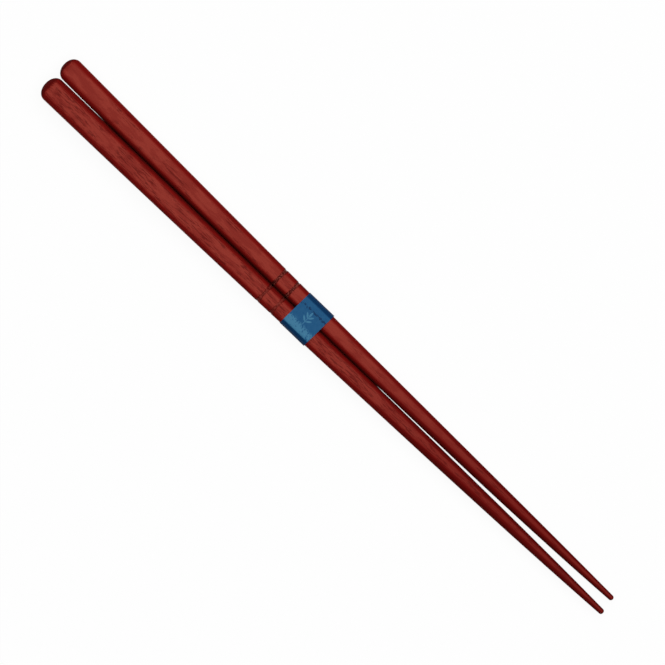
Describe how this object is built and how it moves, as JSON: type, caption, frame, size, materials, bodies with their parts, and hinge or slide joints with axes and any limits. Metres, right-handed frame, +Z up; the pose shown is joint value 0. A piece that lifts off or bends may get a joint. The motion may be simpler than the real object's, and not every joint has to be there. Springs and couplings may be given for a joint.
{
  "type": "bamboo chopsticks",
  "caption": "Red-brown stained chopsticks with domed butts, ring grooves and round tips, held side by side by a blue paper band.",
  "frame": {"origin": "on the underside of the paper band, halfway along it, under the line where the two sticks meet", "axes": "+X along the sticks from the butts to the tips, +Z up, +Y from the front stick to the rear stick"},
  "size_m": [0.2253, 0.0154, 0.008],
  "materials": {
    "stained_wood": "red-brown stain under a satin lacquer, fine pores along the grain",
    "band_paper": "blue printed paper, matte"
  },
  "bodies": {
    "root": {"chopstick_front": "stained_wood", "chopstick_rear": "stained_wood", "paper_band": "band_paper"}
  },
  "joints": []
}
